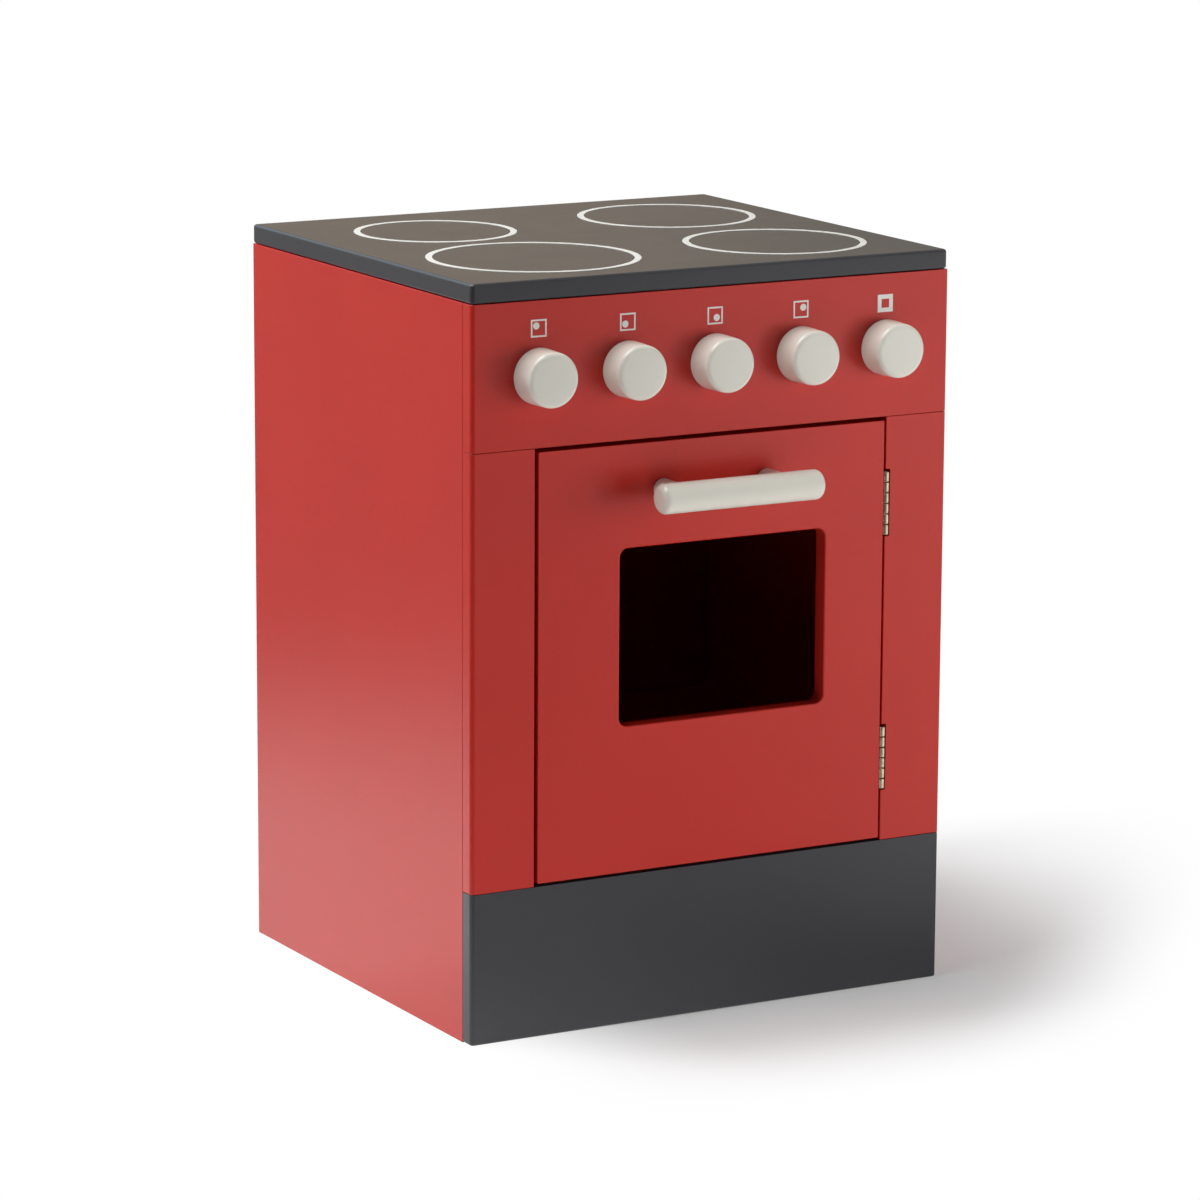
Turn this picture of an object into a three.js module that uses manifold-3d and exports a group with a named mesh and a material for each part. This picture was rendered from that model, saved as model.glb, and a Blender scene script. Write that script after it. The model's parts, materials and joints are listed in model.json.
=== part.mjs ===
// A wooden toy oven: a painted board cabinet with a dark worktop that carries four hob rings,
// a control panel with five turning knobs, a side-hinged door with a window and a bar handle,
// and a dark plinth. Lengths are in millimetres, +Z is up and the front faces -Y.
// The pieces are placed with the front of the boards at y = 0 and the floor at z = 0;
// the group then moves them so that the origin is under the middle of the whole part.
import * as THREE from 'three';
import { RoundedBoxGeometry } from 'three/addons/geometries/RoundedBoxGeometry.js';
import { mergeVertices } from 'three/addons/utils/BufferGeometryUtils.js';
import Module from 'manifold-3d';

const wasm = await Module();
wasm.setup();

// Cabinet
const bodyWidth = 357;
const bodyDepth = 321;
const bodyHeight = 500;
const boardThickness = 12;
const worktopThickness = 13;
const plinthHeight = 101.5;
const panelHeight = 96;
const stileWidth = 46;
const boardArris = 1.5;
const worktopArris = 2.2;

// How pieces sit together: boards and fittings that meet keep this gap, cuts run this far past a face
const jointGap = 0.25;
const overrun = 2;

// Inside boards
const grooveDepth = 4;
const backThickness = 6;
const backInset = 26;
const backFootGap = 2;
const shelfHeight = 146;
const shelfSetback = 8;
const railWidth = 50;
const innerArris = 0.5;

// Hob rings, printed on the worktop: their places are shares of its width and depth,
// and their radii are shares of the lesser of the two
const ringStroke = 4.5;
const ringHeight = 0.2;
const ringGap = 0.05;
const ringShares = [
  { name: 'hob_ring_front_left', across: 0.2633, back: 0.285, radius: 0.2134 },
  { name: 'hob_ring_front_right', across: 0.7647, back: 0.26, radius: 0.1854 },
  { name: 'hob_ring_rear_left', across: 0.2633, back: 0.7196, radius: 0.1651 },
  { name: 'hob_ring_rear_right', across: 0.7647, back: 0.7134, radius: 0.1854 },
];

// Knobs
const knobCount = 5;
const knobEndInset = 48.5;
const knobHeightOnPanel = 46.75;
const knobDiameter = 37;
const knobReach = 22;
const knobFrontArris = 3.4;
const knobBackArris = 0.8;
const knobDraft = 0.5;
const knobBoreDepth = 15;

// Door and its window
const doorLatchGap = 2.75;
const doorHingeGap = 1.5;
const doorTopGap = 2.5;
const doorFootGap = 2;
const windowLatchRail = 60.25;
const windowHingeRail = 45;
const windowTopRail = 68.5;
const windowFootRail = 98;
const windowCornerRadius = 6;
const windowChamfer = 0.8;

// Bar handle
const handleLength = 121;
const handleDiameter = 20;
const handleEndRadius = 4;
const handleStandoff = 33;
const handleDrop = 31.25;
const postDiameter = 14;
const postInset = 21.5;
const handleBoreDepth = 12;

// Butt hinges
const hingeHeight = 44;
const hingeInset = 55.5;
const knuckleCount = 6;
const knuckleGap = 0.25;
const barrelRadius = 2.25;
const barrelDepth = 1.6;
const pinRadius = 1.1;
const pinBoreRadius = 1.25;
const leafThickness = 0.8;
const leafReach = 9;
const leafKnuckleClearance = 0.45;
const mortiseEndGap = 0.75;
const hingeScrewSpacing = 26;

// Screws: machine screws hold knobs and handle, wood screws hold hinges and catch
const boltRadius = 2;
const boltHeadRadius = 4;
const boltHeadHeight = 2.6;
const boltBoreRadius = 2.4;
const boltEndGap = 2;
const washerRadius = 7;
const washerThickness = 1;
const woodScrewRadius = 1.1;
const woodScrewHeadRadius = 2.1;
const woodScrewHeadHeight = 1;
const woodScrewLength = 10;
const woodScrewBoreRadius = 1.4;
const screwTipLength = 2;
const domeShare = 0.65;
const driveWidthShare = 0.3;
const driveLengthShare = 1.1;
const driveDepthShare = 0.45;

// Magnetic catch
const catchHeight = 14;
const catchFlangeLength = 26;
const catchFlangeThickness = 5;
const catchBoxLength = 22;
const catchBoxDepth = 12;
const catchScrewSpacing = 12;
const catchArris = 0.8;
const magnetLength = 16;
const magnetHeight = 8;
const magnetDepth = 6;
const strikeWidth = 16;
const strikeHeight = 34;
const strikeThickness = 1;
const strikeEdgeGap = 1;
const strikeScrewInset = 5;
const catchPlay = 0.25;

// How finely round forms are faceted
const knobFacets = 32;
const ringFacets = 56;
const barFacets = 28;
const boltFacets = 12;
const screwFacets = 8;
const barrelFacets = 12;
const arrisSteps = 3;
const halfTurn = Math.PI;
const quarterTurn = Math.PI / 2;

// Places that follow from the sizes
const halfWidth = bodyWidth / 2;
const innerHalfWidth = halfWidth - boardThickness;
const underWorktop = bodyHeight - worktopThickness;
const boardTop = underWorktop - jointGap;
const frameBack = boardThickness;
const sideFront = frameBack + jointGap;
const openingTop = underWorktop - panelHeight;
const openingHalfWidth = halfWidth - stileWidth;
const backRear = bodyDepth - backInset;
const backFront = backRear - backThickness;
const doorLeft = -openingHalfWidth + doorLatchGap;
const doorRight = openingHalfWidth - doorHingeGap;
const doorFoot = plinthHeight + doorFootGap;
const doorTop = openingTop - doorTopGap;
const doorMiddle = (doorLeft + doorRight) / 2;
const doorMidHeight = (doorFoot + doorTop) / 2;
const barHeight = doorTop - handleDrop;
const barRadius = handleDiameter / 2;
const barrelX = doorRight + jointGap + barrelRadius;
const mortiseBottom = barrelX + barrelRadius + jointGap;
const catchMidHeight = doorMidHeight;
const strikeBack = boardThickness + jointGap + strikeThickness;
const magnetFace = strikeBack + catchPlay;
const knobHeight = openingTop + jointGap + knobHeightOnPanel;

const paint = {
  red: new THREE.MeshStandardMaterial({ color: 0xb8382f, roughness: 0.45, metalness: 0 }),
  charcoal: new THREE.MeshStandardMaterial({ color: 0x4b4a4e, roughness: 0.5, metalness: 0 }),
  white: new THREE.MeshStandardMaterial({ color: 0xe4e1d6, roughness: 0.4, metalness: 0 }),
  print: new THREE.MeshStandardMaterial({ color: 0xf2f1ec, roughness: 0.5, metalness: 0 }),
  nickel: new THREE.MeshStandardMaterial({ color: 0xc9bfa8, roughness: 0.3, metalness: 1 }),
  steel: new THREE.MeshStandardMaterial({ color: 0xb4b6b8, roughness: 0.35, metalness: 1 }),
  ferrite: new THREE.MeshStandardMaterial({ color: 0x33322f, roughness: 0.6, metalness: 0.2 }),
  plastic: new THREE.MeshStandardMaterial({ color: 0xe9e8e4, roughness: 0.5, metalness: 0 }),
};

// A closed three.js geometry as a solid that can be joined and cut
function solid(geometry) {
  const bare = geometry.clone();
  bare.deleteAttribute('normal');
  bare.deleteAttribute('uv');
  const merged = mergeVertices(bare);
  return new wasm.Manifold(new wasm.Mesh({
    numProp: 3,
    vertProperties: merged.attributes.position.array,
    triVerts: new Uint32Array(merged.index.array),
  }));
}

// The joined or cut solid as a three.js geometry again
function surface(shape) {
  const mesh = shape.getMesh();
  const geometry = new THREE.BufferGeometry();
  geometry.setAttribute('position', new THREE.BufferAttribute(mesh.vertProperties, mesh.numProp));
  geometry.setIndex(new THREE.BufferAttribute(mesh.triVerts, 1));
  geometry.computeVertexNormals();
  return geometry;
}

function cut(body, tools) {
  return tools.reduce((left, tool) => left.subtract(solid(tool)), solid(body));
}

// A plain block between two opposite corners
function block(low, high) {
  const [width, depth, height] = high.map((value, i) => value - low[i]);
  const middle = high.map((value, i) => (value + low[i]) / 2);
  return new THREE.BoxGeometry(width, depth, height).translate(...middle);
}

// A board between two opposite corners, with all its edges eased by a small radius
function board(low, high, arris = boardArris, steps = 1) {
  const [width, depth, height] = high.map((value, i) => value - low[i]);
  const middle = high.map((value, i) => (value + low[i]) / 2);
  return new RoundedBoxGeometry(width, depth, height, steps, arris).translate(...middle);
}

// A form turned about the Y axis; the profile holds [radius, y] pairs from low y to high y
function turned(profile, facets) {
  return new THREE.LatheGeometry(profile.map(([radius, y]) => new THREE.Vector2(radius, y)), facets);
}

// Points of a quarter circle that eases the outer edge of a turned form
function easedEdge(centreRadius, centreY, radius, fromAngle) {
  const points = [];
  for (let step = 0; step <= arrisSteps; step += 1) {
    const angle = fromAngle + (quarterTurn * step) / arrisSteps;
    points.push([centreRadius + radius * Math.cos(angle), centreY + radius * Math.sin(angle)]);
  }
  return points;
}

// A plain cylinder along Y
function rod(radius, fromY, toY, facets) {
  return turned([[0, fromY], [radius, fromY], [radius, toY], [0, toY]], facets);
}

// A domed-head screw along Y: its head rests at y = 0 and its shank runs to -length
function screw({ radius, headRadius, headHeight, length, facets }) {
  const shank = turned([
    [0, -length],
    [radius / 2, -length],
    [radius, screwTipLength - length],
    [radius, 0],
    [headRadius, 0],
    [headRadius, headHeight / 2],
    [headRadius * domeShare, headHeight],
    [0, headHeight],
  ], facets);
  const slotHalfWidth = (headRadius * driveWidthShare) / 2;
  const slotHalfLength = (headRadius * driveLengthShare) / 2;
  const slotFloor = headHeight * (1 - driveDepthShare);
  const slot = (across, along) => block([-across, slotFloor, -along], [across, headHeight + overrun, along]);
  return surface(cut(shank, [slot(slotHalfWidth, slotHalfLength), slot(slotHalfLength, slotHalfWidth)]));
}

const woodScrew = {
  radius: woodScrewRadius,
  headRadius: woodScrewHeadRadius,
  headHeight: woodScrewHeadHeight,
  length: woodScrewLength,
  facets: screwFacets,
};

const pieces = [];

function piece(name, geometry, material) {
  const mesh = new THREE.Mesh(geometry, material);
  mesh.name = name;
  pieces.push(mesh);
  return mesh;
}

function makeWorktop() {
  const top = board([-halfWidth, 0, underWorktop], [halfWidth, bodyDepth, bodyHeight], worktopArris, 2);
  piece('worktop', top, paint.charcoal);
}

function makeHobRings() {
  ringShares.forEach((share) => {
    const radius = share.radius * Math.min(bodyWidth, bodyDepth);
    makeRing(share.name, radius, share.across * bodyWidth - halfWidth, share.back * bodyDepth);
  });
}

function makeRing(name, radius, x, y) {
  const inner = radius - ringStroke / 2;
  const outer = radius + ringStroke / 2;
  const section = [[inner, 0], [outer, 0], [outer, ringHeight], [inner, ringHeight], [inner, 0]];
  const ring = turned(section, ringFacets).rotateX(quarterTurn);
  piece(name, ring, paint.print).position.set(x, y, bodyHeight + ringGap);
}

// Where each knob turns, from left to right
function knobPlaces() {
  const firstX = knobEndInset - halfWidth;
  const pitch = (bodyWidth - 2 * knobEndInset) / (knobCount - 1);
  return Array.from({ length: knobCount }, (_, i) => firstX + i * pitch);
}

function makeFrontFrame() {
  const shaftBores = knobPlaces().map((x) =>
    rod(boltBoreRadius, -overrun, frameBack + overrun, boltFacets).translate(x, 0, knobHeight));
  const panel = board([-halfWidth, 0, openingTop + jointGap], [halfWidth, frameBack, boardTop]);
  piece('control_panel', surface(cut(panel, shaftBores)), paint.red);
  piece('plinth', board([-halfWidth, 0, 0], [halfWidth, frameBack, plinthHeight]), paint.charcoal);

  const stileFoot = plinthHeight + jointGap;
  const leftStile = board([-halfWidth, 0, stileFoot], [-openingHalfWidth, frameBack, openingTop]);
  piece('stile_left', surface(cut(leftStile, catchScrewPlaces().map((x) =>
    rod(woodScrewBoreRadius, frameBack / 2, frameBack + overrun, screwFacets)
      .translate(x, 0, catchMidHeight)))), paint.red);

  const rightStile = board([openingHalfWidth, 0, stileFoot], [halfWidth, frameBack, openingTop]);
  const mortises = hingeHeights().map((z) => block(
    [openingHalfWidth - overrun, -overrun, z - hingeHeight / 2 - mortiseEndGap],
    [mortiseBottom, frameBack + overrun, z + hingeHeight / 2 + mortiseEndGap],
  ));
  const pilots = hingeScrewPlaces().map(([y, z]) =>
    rod(woodScrewBoreRadius, -overrun, woodScrewLength, screwFacets)
      .rotateZ(-quarterTurn).translate(mortiseBottom, y, z));
  piece('stile_right', surface(cut(rightStile, [...mortises, ...pilots])), paint.red);
}

// A side panel with grooves for the back panel, the bottom board and the shelf
function makeSide(name, direction) {
  const outer = direction * halfWidth;
  const inner = direction * innerHalfWidth;
  const low = Math.min(outer, inner);
  const high = Math.max(outer, inner);
  const grooveInner = inner - direction * overrun;
  const grooveBottom = inner + direction * grooveDepth;
  const grooveLow = Math.min(grooveInner, grooveBottom);
  const grooveHigh = Math.max(grooveInner, grooveBottom);
  const groove = (front, back, foot, top) =>
    block([grooveLow, front, foot], [grooveHigh, back, top]);
  const panel = board([low, sideFront, 0], [high, bodyDepth, boardTop]);
  const grooves = [
    groove(backFront - jointGap, backRear + jointGap, -overrun, boardTop + overrun),
    groove(-overrun, backFront, plinthHeight - boardThickness - jointGap, plinthHeight + jointGap),
    groove(-overrun, backFront, shelfHeight - boardThickness - jointGap, shelfHeight + jointGap),
  ];
  piece(name, surface(cut(panel, grooves)), paint.red);
}

function makeInsideBoards() {
  const grooved = innerHalfWidth + grooveDepth - jointGap;
  const between = innerHalfWidth - jointGap;
  const boardsBack = backFront - jointGap;
  const railFoot = boardTop - boardThickness;
  piece('back_panel', board([-grooved, backFront, backFootGap], [grooved, backRear, boardTop], innerArris),
    paint.red);
  piece('bottom_board', board([-grooved, sideFront, plinthHeight - boardThickness],
    [grooved, boardsBack, plinthHeight], innerArris), paint.red);
  piece('oven_shelf', board([-grooved, frameBack + shelfSetback, shelfHeight - boardThickness],
    [grooved, boardsBack, shelfHeight], innerArris), paint.red);
  piece('top_rail_front', board([-between, sideFront, railFoot],
    [between, sideFront + railWidth, boardTop], innerArris), paint.red);
  piece('top_rail_rear', board([-between, boardsBack - railWidth, railFoot],
    [between, boardsBack, boardTop], innerArris), paint.red);
}

// A turned knob whose front face is at -knobReach and whose back stands just off the panel
function knobGeometry() {
  const radius = knobDiameter / 2;
  const profile = [
    [0, -knobReach],
    ...easedEdge(radius - knobDraft - knobFrontArris, knobFrontArris - knobReach, knobFrontArris, -quarterTurn),
    [radius, -jointGap - knobBackArris],
    [radius - knobBackArris, -jointGap],
    [0, -jointGap],
  ];
  const bore = rod(boltBoreRadius, -jointGap - knobBoreDepth, overrun, boltFacets);
  return surface(cut(turned(profile, knobFacets), [bore]));
}

// A machine screw whose head rests behind the washer and whose shank holds the piece in front
function boltGeometry(reach) {
  return screw({
    radius: boltRadius,
    headRadius: boltHeadRadius,
    headHeight: boltHeadHeight,
    length: reach,
    facets: boltFacets,
  });
}

function makeKnobs() {
  const washerFace = frameBack + jointGap;
  const headSeat = washerFace + washerThickness + jointGap;
  const washerSection = [
    [boltBoreRadius, 0],
    [washerRadius, 0],
    [washerRadius, washerThickness],
    [boltBoreRadius, washerThickness],
    [boltBoreRadius, 0],
  ];
  knobPlaces().forEach((x, i) => {
    const number = i + 1;
    piece(`knob_${number}`, knobGeometry(), paint.white).position.set(x, 0, knobHeight);
    piece(`knob_washer_${number}`, turned(washerSection, boltFacets), paint.steel)
      .position.set(x, washerFace, knobHeight);
    piece(`knob_screw_${number}`, boltGeometry(headSeat + jointGap + knobBoreDepth - boltEndGap), paint.steel)
      .position.set(x, headSeat, knobHeight);
  });
}

// The window outline, corners rounded, in the plane of the door
function windowShape() {
  const left = doorLeft + windowLatchRail;
  const right = doorRight - windowHingeRail;
  const foot = doorFoot + windowFootRail;
  const top = doorTop - windowTopRail;
  const r = windowCornerRadius;
  const shape = new THREE.Shape();
  shape.absarc(right - r, foot + r, r, -quarterTurn, 0);
  shape.absarc(right - r, top - r, r, 0, quarterTurn);
  shape.absarc(left + r, top - r, r, quarterTurn, halfTurn);
  shape.absarc(left + r, foot + r, r, halfTurn, halfTurn + quarterTurn);
  return shape;
}

// The cutter that opens the window, and the ones that ease its edge on each face
function windowCutters() {
  const shape = windowShape();
  const upright = (geometry, y) => geometry.rotateX(quarterTurn).translate(0, y, 0);
  const through = new THREE.ExtrudeGeometry(shape, {
    depth: boardThickness + 2 * overrun,
    bevelEnabled: false,
    curveSegments: arrisSteps,
  });
  const chamfer = () => new THREE.ExtrudeGeometry(shape, {
    depth: overrun,
    bevelThickness: windowChamfer,
    bevelSize: windowChamfer,
    bevelSegments: 1,
    curveSegments: arrisSteps,
  });
  const chamferReach = overrun + windowChamfer;
  return [
    upright(through, boardThickness + overrun),
    upright(chamfer(), 0),
    upright(chamfer(), boardThickness + chamferReach - windowChamfer),
  ];
}

function postPlaces() {
  return [-1, 1].map((side) => doorMiddle + side * (handleLength / 2 - postInset));
}

function makeDoor() {
  const panel = board([doorLeft, 0, doorFoot], [doorRight, boardThickness, doorTop]);
  const handleBores = postPlaces().map((x) =>
    rod(boltBoreRadius, -overrun, boardThickness + overrun, boltFacets).translate(x, 0, barHeight));
  const pilots = hingeScrewPlaces().map(([y, z]) =>
    rod(woodScrewBoreRadius, -overrun, woodScrewLength, screwFacets)
      .rotateZ(quarterTurn).translate(doorRight, y, z));
  const strikeBore = rod(woodScrewBoreRadius, strikeBack - woodScrewLength - jointGap,
    boardThickness + overrun, screwFacets).translate(strikeMiddle(), 0, strikeScrewHeight());
  piece('door', surface(cut(panel, [...windowCutters(), ...handleBores, ...pilots, strikeBore])), paint.red);
}

// The bar lies along X; its blind bores take the two screws that come through the posts
function makeHandle() {
  const halfLength = handleLength / 2;
  const lyingRod = (radius) => rod(radius, -handleLength, handleLength, barFacets)
    .rotateZ(quarterTurn).translate(doorMiddle, -handleStandoff, barHeight);
  const bar = turned([
    [0, -halfLength],
    ...easedEdge(barRadius - handleEndRadius, handleEndRadius - halfLength, handleEndRadius, -quarterTurn),
    ...easedEdge(barRadius - handleEndRadius, halfLength - handleEndRadius, handleEndRadius, 0),
    [0, halfLength],
  ], barFacets).rotateZ(quarterTurn).translate(doorMiddle, -handleStandoff, barHeight);
  const barBack = barRadius - handleStandoff;
  const bores = postPlaces().map((x) =>
    rod(boltBoreRadius, barBack - handleBoreDepth, barBack + overrun, boltFacets).translate(x, 0, barHeight));
  piece('handle_bar', surface(cut(bar, bores)), paint.white);

  postPlaces().forEach((x, i) => {
    const side = ['left', 'right'][i];
    const post = rod(postDiameter / 2, -handleStandoff, -jointGap, barFacets).translate(x, 0, barHeight);
    const bore = rod(boltBoreRadius, -handleStandoff - overrun, overrun, boltFacets).translate(x, 0, barHeight);
    piece(`handle_post_${side}`, surface(cut(post, [lyingRod(barRadius + jointGap), bore])), paint.white);
    const headSeat = boardThickness + jointGap;
    const boltReach = headSeat - barBack + handleBoreDepth - boltEndGap;
    piece(`handle_screw_${side}`, boltGeometry(boltReach), paint.steel).position.set(x, headSeat, barHeight);
  });
}

function hingeHeights() {
  return [doorTop - hingeInset, doorFoot + hingeInset];
}

// The middle of the flat part of a leaf, measured back from the front of the door
function leafScrewDepth() {
  return barrelDepth + (barrelRadius + leafKnuckleClearance + leafReach) / 2;
}

// [y, z] of each screw through the leaves of both hinges
function hingeScrewPlaces() {
  return hingeHeights().flatMap((z) =>
    [1, -1].map((side) => [leafScrewDepth(), z + (side * hingeScrewSpacing) / 2]));
}

// A hinge leaf lies beside its barrel: direction -1 is the door's leaf and 1 the stile's.
// Every other knuckle belongs to it, starting from the one that firstKnuckle counts.
function leafGeometry(direction, firstKnuckle) {
  const pitch = hingeHeight / knuckleCount;
  const outer = direction * barrelRadius;
  const inner = direction * (barrelRadius - leafThickness);
  const low = Math.min(outer, inner);
  const high = Math.max(outer, inner);
  const plateFront = barrelRadius + leafKnuckleClearance;
  let leaf = solid(block([low, plateFront, -hingeHeight / 2], [high, leafReach, hingeHeight / 2]));
  for (let i = firstKnuckle; i < knuckleCount; i += 2) {
    const foot = -hingeHeight / 2 + i * pitch + knuckleGap / 2;
    const top = foot + pitch - knuckleGap;
    const knuckle = rod(barrelRadius, foot, top, barrelFacets).rotateX(quarterTurn);
    const tang = block([low, 0, foot], [high, plateFront + leafThickness, top]);
    leaf = leaf.add(solid(knuckle)).add(solid(tang));
  }
  const bore = rod(pinBoreRadius, -hingeHeight, hingeHeight, barrelFacets).rotateX(quarterTurn);
  const screwBore = (side) => rod(woodScrewBoreRadius, -overrun, overrun, screwFacets).rotateZ(quarterTurn)
    .translate(outer, leafScrewDepth() - barrelDepth, (side * hingeScrewSpacing) / 2);
  return surface([bore, screwBore(1), screwBore(-1)].reduce((left, tool) => left.subtract(solid(tool)), leaf));
}

function makeHinges() {
  const pin = rod(pinRadius, -hingeHeight / 2, hingeHeight / 2, barrelFacets).rotateX(quarterTurn);
  const headOffset = barrelRadius - leafThickness - jointGap;
  hingeHeights().forEach((z, i) => {
    const hinge = `hinge_${['upper', 'lower'][i]}`;
    piece(`${hinge}_door_leaf`, leafGeometry(-1, 0), paint.nickel).position.set(barrelX, barrelDepth, z);
    piece(`${hinge}_stile_leaf`, leafGeometry(1, 1), paint.nickel).position.set(barrelX, barrelDepth, z);
    piece(`${hinge}_pin`, pin.clone(), paint.nickel).position.set(barrelX, barrelDepth, z);
    [1, -1].forEach((side, n) => {
      const screwZ = z + (side * hingeScrewSpacing) / 2;
      const doorScrew = piece(`${hinge}_door_screw_${n + 1}`, screw(woodScrew), paint.nickel);
      doorScrew.position.set(barrelX - headOffset, leafScrewDepth(), screwZ);
      doorScrew.rotation.z = -quarterTurn;
      const stileScrew = piece(`${hinge}_stile_screw_${n + 1}`, screw(woodScrew), paint.nickel);
      stileScrew.position.set(barrelX + headOffset, leafScrewDepth(), screwZ);
      stileScrew.rotation.z = quarterTurn;
    });
  });
}

function strikeMiddle() {
  return doorLeft + strikeEdgeGap + strikeWidth / 2;
}

function strikeScrewHeight() {
  return catchMidHeight - strikeHeight / 2 + strikeScrewInset;
}

function catchBoxEnd() {
  return strikeMiddle() + catchBoxLength / 2;
}

function catchScrewPlaces() {
  const flangeMiddle = catchBoxEnd() - catchBoxLength - catchFlangeLength / 2;
  return [-1, 1].map((side) => flangeMiddle + (side * catchScrewSpacing) / 2);
}

// The catch: a flanged housing screwed behind the latch stile, with a magnet behind the door's edge
function makeCatch() {
  const foot = catchMidHeight - catchHeight / 2;
  const top = catchMidHeight + catchHeight / 2;
  const boxEnd = catchBoxEnd();
  const boxStart = boxEnd - catchBoxLength;
  const flangeFace = frameBack + jointGap;
  const flangeBack = flangeFace + catchFlangeThickness;
  const box = board([boxStart, magnetFace, foot], [boxEnd, magnetFace + catchBoxDepth, top], catchArris);
  const flange = board([boxStart - catchFlangeLength, flangeFace, foot],
    [boxStart + catchFlangeThickness, flangeBack, top], catchArris);
  const doorSide = block([-openingHalfWidth, -overrun, foot - overrun],
    [boxEnd + overrun, magnetFace, top + overrun]);
  const pocket = block(
    [strikeMiddle() - magnetLength / 2 - jointGap, -overrun, catchMidHeight - magnetHeight / 2 - jointGap],
    [strikeMiddle() + magnetLength / 2 + jointGap, magnetFace + magnetDepth + jointGap,
      catchMidHeight + magnetHeight / 2 + jointGap],
  );
  const screwBores = catchScrewPlaces().map((x) =>
    rod(woodScrewBoreRadius, -overrun, flangeBack + overrun, screwFacets).translate(x, 0, catchMidHeight));
  const housing = [doorSide, pocket, ...screwBores]
    .reduce((left, tool) => left.subtract(solid(tool)), solid(box).add(solid(flange)));
  piece('catch_housing', surface(housing), paint.plastic);
  piece('catch_magnet', board(
    [strikeMiddle() - magnetLength / 2, magnetFace, catchMidHeight - magnetHeight / 2],
    [strikeMiddle() + magnetLength / 2, magnetFace + magnetDepth, catchMidHeight + magnetHeight / 2],
    innerArris,
  ), paint.ferrite);
  catchScrewPlaces().forEach((x, i) => {
    piece(`catch_screw_${i + 1}`, screw(woodScrew), paint.steel)
      .position.set(x, flangeBack + jointGap, catchMidHeight);
  });
  const strike = board(
    [strikeMiddle() - strikeWidth / 2, boardThickness + jointGap, catchMidHeight - strikeHeight / 2],
    [strikeMiddle() + strikeWidth / 2, strikeBack, catchMidHeight + strikeHeight / 2],
    strikeThickness / 4,
  );
  const strikeBore = rod(woodScrewBoreRadius, 0, strikeBack + overrun, screwFacets)
    .translate(strikeMiddle(), 0, strikeScrewHeight());
  piece('strike_plate', surface(cut(strike, [strikeBore])), paint.steel);
  piece('strike_screw', screw(woodScrew), paint.steel)
    .position.set(strikeMiddle(), strikeBack + jointGap, strikeScrewHeight());
}

makeWorktop();
makeHobRings();
makeFrontFrame();
makeSide('side_left', -1);
makeSide('side_right', 1);
makeInsideBoards();
makeKnobs();
makeDoor();
makeHandle();
makeHinges();
makeCatch();

const handleFront = -handleStandoff - barRadius;
const oven = new THREE.Group();
oven.add(...pieces);
oven.position.y = -(handleFront + bodyDepth) / 2;

export default oven;
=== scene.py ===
"""A wooden toy oven in satin paint, dressed round its packed construction model.

Lengths are in metres, +Z is up and the front faces -Y. Each painted board, knob and fitting takes
its size and place from the construction node that it stands for.
"""
import json
import math

import bmesh
import bpy
import numpy as np
from mathutils import Matrix, Vector


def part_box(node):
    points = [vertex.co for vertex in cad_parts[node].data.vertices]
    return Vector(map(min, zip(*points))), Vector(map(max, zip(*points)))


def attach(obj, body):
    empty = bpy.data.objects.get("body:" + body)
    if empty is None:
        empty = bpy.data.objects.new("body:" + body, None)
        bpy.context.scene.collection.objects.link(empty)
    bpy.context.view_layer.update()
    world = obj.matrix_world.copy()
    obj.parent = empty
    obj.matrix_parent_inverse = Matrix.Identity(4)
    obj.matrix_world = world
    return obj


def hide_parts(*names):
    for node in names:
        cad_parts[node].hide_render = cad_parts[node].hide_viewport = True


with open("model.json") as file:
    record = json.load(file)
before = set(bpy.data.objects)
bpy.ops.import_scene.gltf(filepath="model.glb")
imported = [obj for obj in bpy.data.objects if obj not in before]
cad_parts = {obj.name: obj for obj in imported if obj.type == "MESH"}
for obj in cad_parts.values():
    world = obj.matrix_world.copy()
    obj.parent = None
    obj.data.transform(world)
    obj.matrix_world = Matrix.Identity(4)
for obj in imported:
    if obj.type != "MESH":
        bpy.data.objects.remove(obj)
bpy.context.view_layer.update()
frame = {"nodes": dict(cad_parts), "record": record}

MM = 0.001
QUARTER = math.pi / 2
FULL_TURN = 2 * math.pi
MERGE_DISTANCE = 0.001 * MM
ROUND_FORM_ANGLE = math.radians(38)
ROUND_STEPS = 96

# Boards
PANEL_ARRIS = 0.5 * MM
WORKTOP_ARRIS = 2.0 * MM
WORKTOP_CORNER = 3 * MM
SEAM_ARRIS = 0.35 * MM
SEAM_CORNER = 0.4 * MM
PLINTH_FOOT_ARRIS = 2 * MM
OUTER_CORNER = 3 * MM
REAR_CORNER = 1.5 * MM
ARRIS_STEPS = 6
BORE_RADIUS = 2.4 * MM
BORE_STEPS = 32

# Door and window
DOOR_ARRIS = 0.35 * MM
DOOR_CORNER = 0.9 * MM
WINDOW_ARRIS = 1.1 * MM
WINDOW_CORNER = 6 * MM
WINDOW_CORNER_STEPS = 10
WINDOW_LEFT_RAIL = 60.25 * MM
WINDOW_RIGHT_RAIL = 45 * MM
WINDOW_TOP_RAIL = 68.5 * MM
WINDOW_FOOT_RAIL = 98 * MM

# Knobs and handle
KNOB_NUMBERS = (1, 2, 3, 4, 5)
KNOB_FRONT_ARRIS = 3.3 * MM
KNOB_BACK_ARRIS = 0.8 * MM
KNOB_DRAFT = 0.4 * MM
KNOB_CROWN = 0.25 * MM
KNOB_CROWN_STEPS = 6
KNOB_BORE = 2.4 * MM
KNOB_BORE_DEPTH = 15 * MM
BAR_END_RADIUS = 4.5 * MM
POST_ARRIS = 0.6 * MM
POST_SEAT_GAP = 0.25 * MM

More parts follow.
